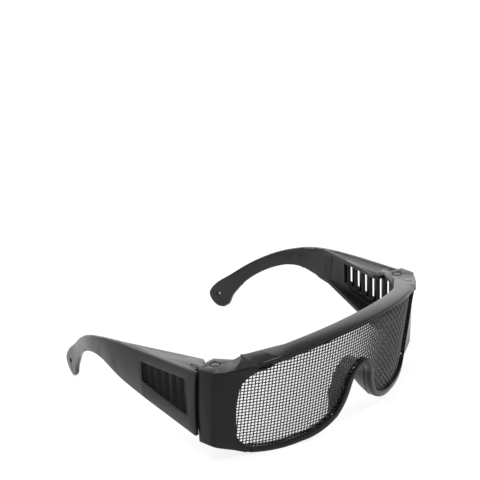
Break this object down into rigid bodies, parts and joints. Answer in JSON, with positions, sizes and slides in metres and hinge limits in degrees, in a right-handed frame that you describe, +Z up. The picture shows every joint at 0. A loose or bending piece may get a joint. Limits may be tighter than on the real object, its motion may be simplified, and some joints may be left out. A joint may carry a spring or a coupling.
{
  "type": "mesh safety goggles",
  "caption": "Wrap-around safety goggles with a woven wire mesh window, a deep brow shelf and wide folding temples with louvred side vents.",
  "frame": {"origin": "under the middle of the open goggles, on the surface they stand on", "axes": "+Z up, the wearer looks along -Y, +X is the wearer's left"},
  "size_m": [0.1594, 0.1664, 0.059],
  "materials": {
    "frame_plastic": "semi-gloss injection moulding",
    "temple_plastic": "semi-gloss injection moulding",
    "bezel_plastic": "semi-gloss injection moulding",
    "mesh_wire": "black-coated woven steel wire",
    "pin_steel": "blackened steel"
  },
  "bodies": {
    "front": {"front_frame": "frame_plastic", "mesh_lens": "mesh_wire", "mesh_bezel": "bezel_plastic", "hinge_pins": "pin_steel"},
    "left_arm": {"left_temple": "temple_plastic"},
    "right_arm": {"right_temple": "temple_plastic"}
  },
  "joints": [
    {"name": "left_temple_fold", "type": "hinge", "parent": "front", "child": "left_arm", "pos_m": [0.0692, -0.0454, 0.03], "axis": [0, 0, 1], "range_deg": [0, 77]},
    {"name": "right_temple_fold", "type": "hinge", "parent": "front", "child": "right_arm", "pos_m": [-0.0692, -0.0454, 0.03], "axis": [0, 0, -1], "range_deg": [0, 86]}
  ]
}
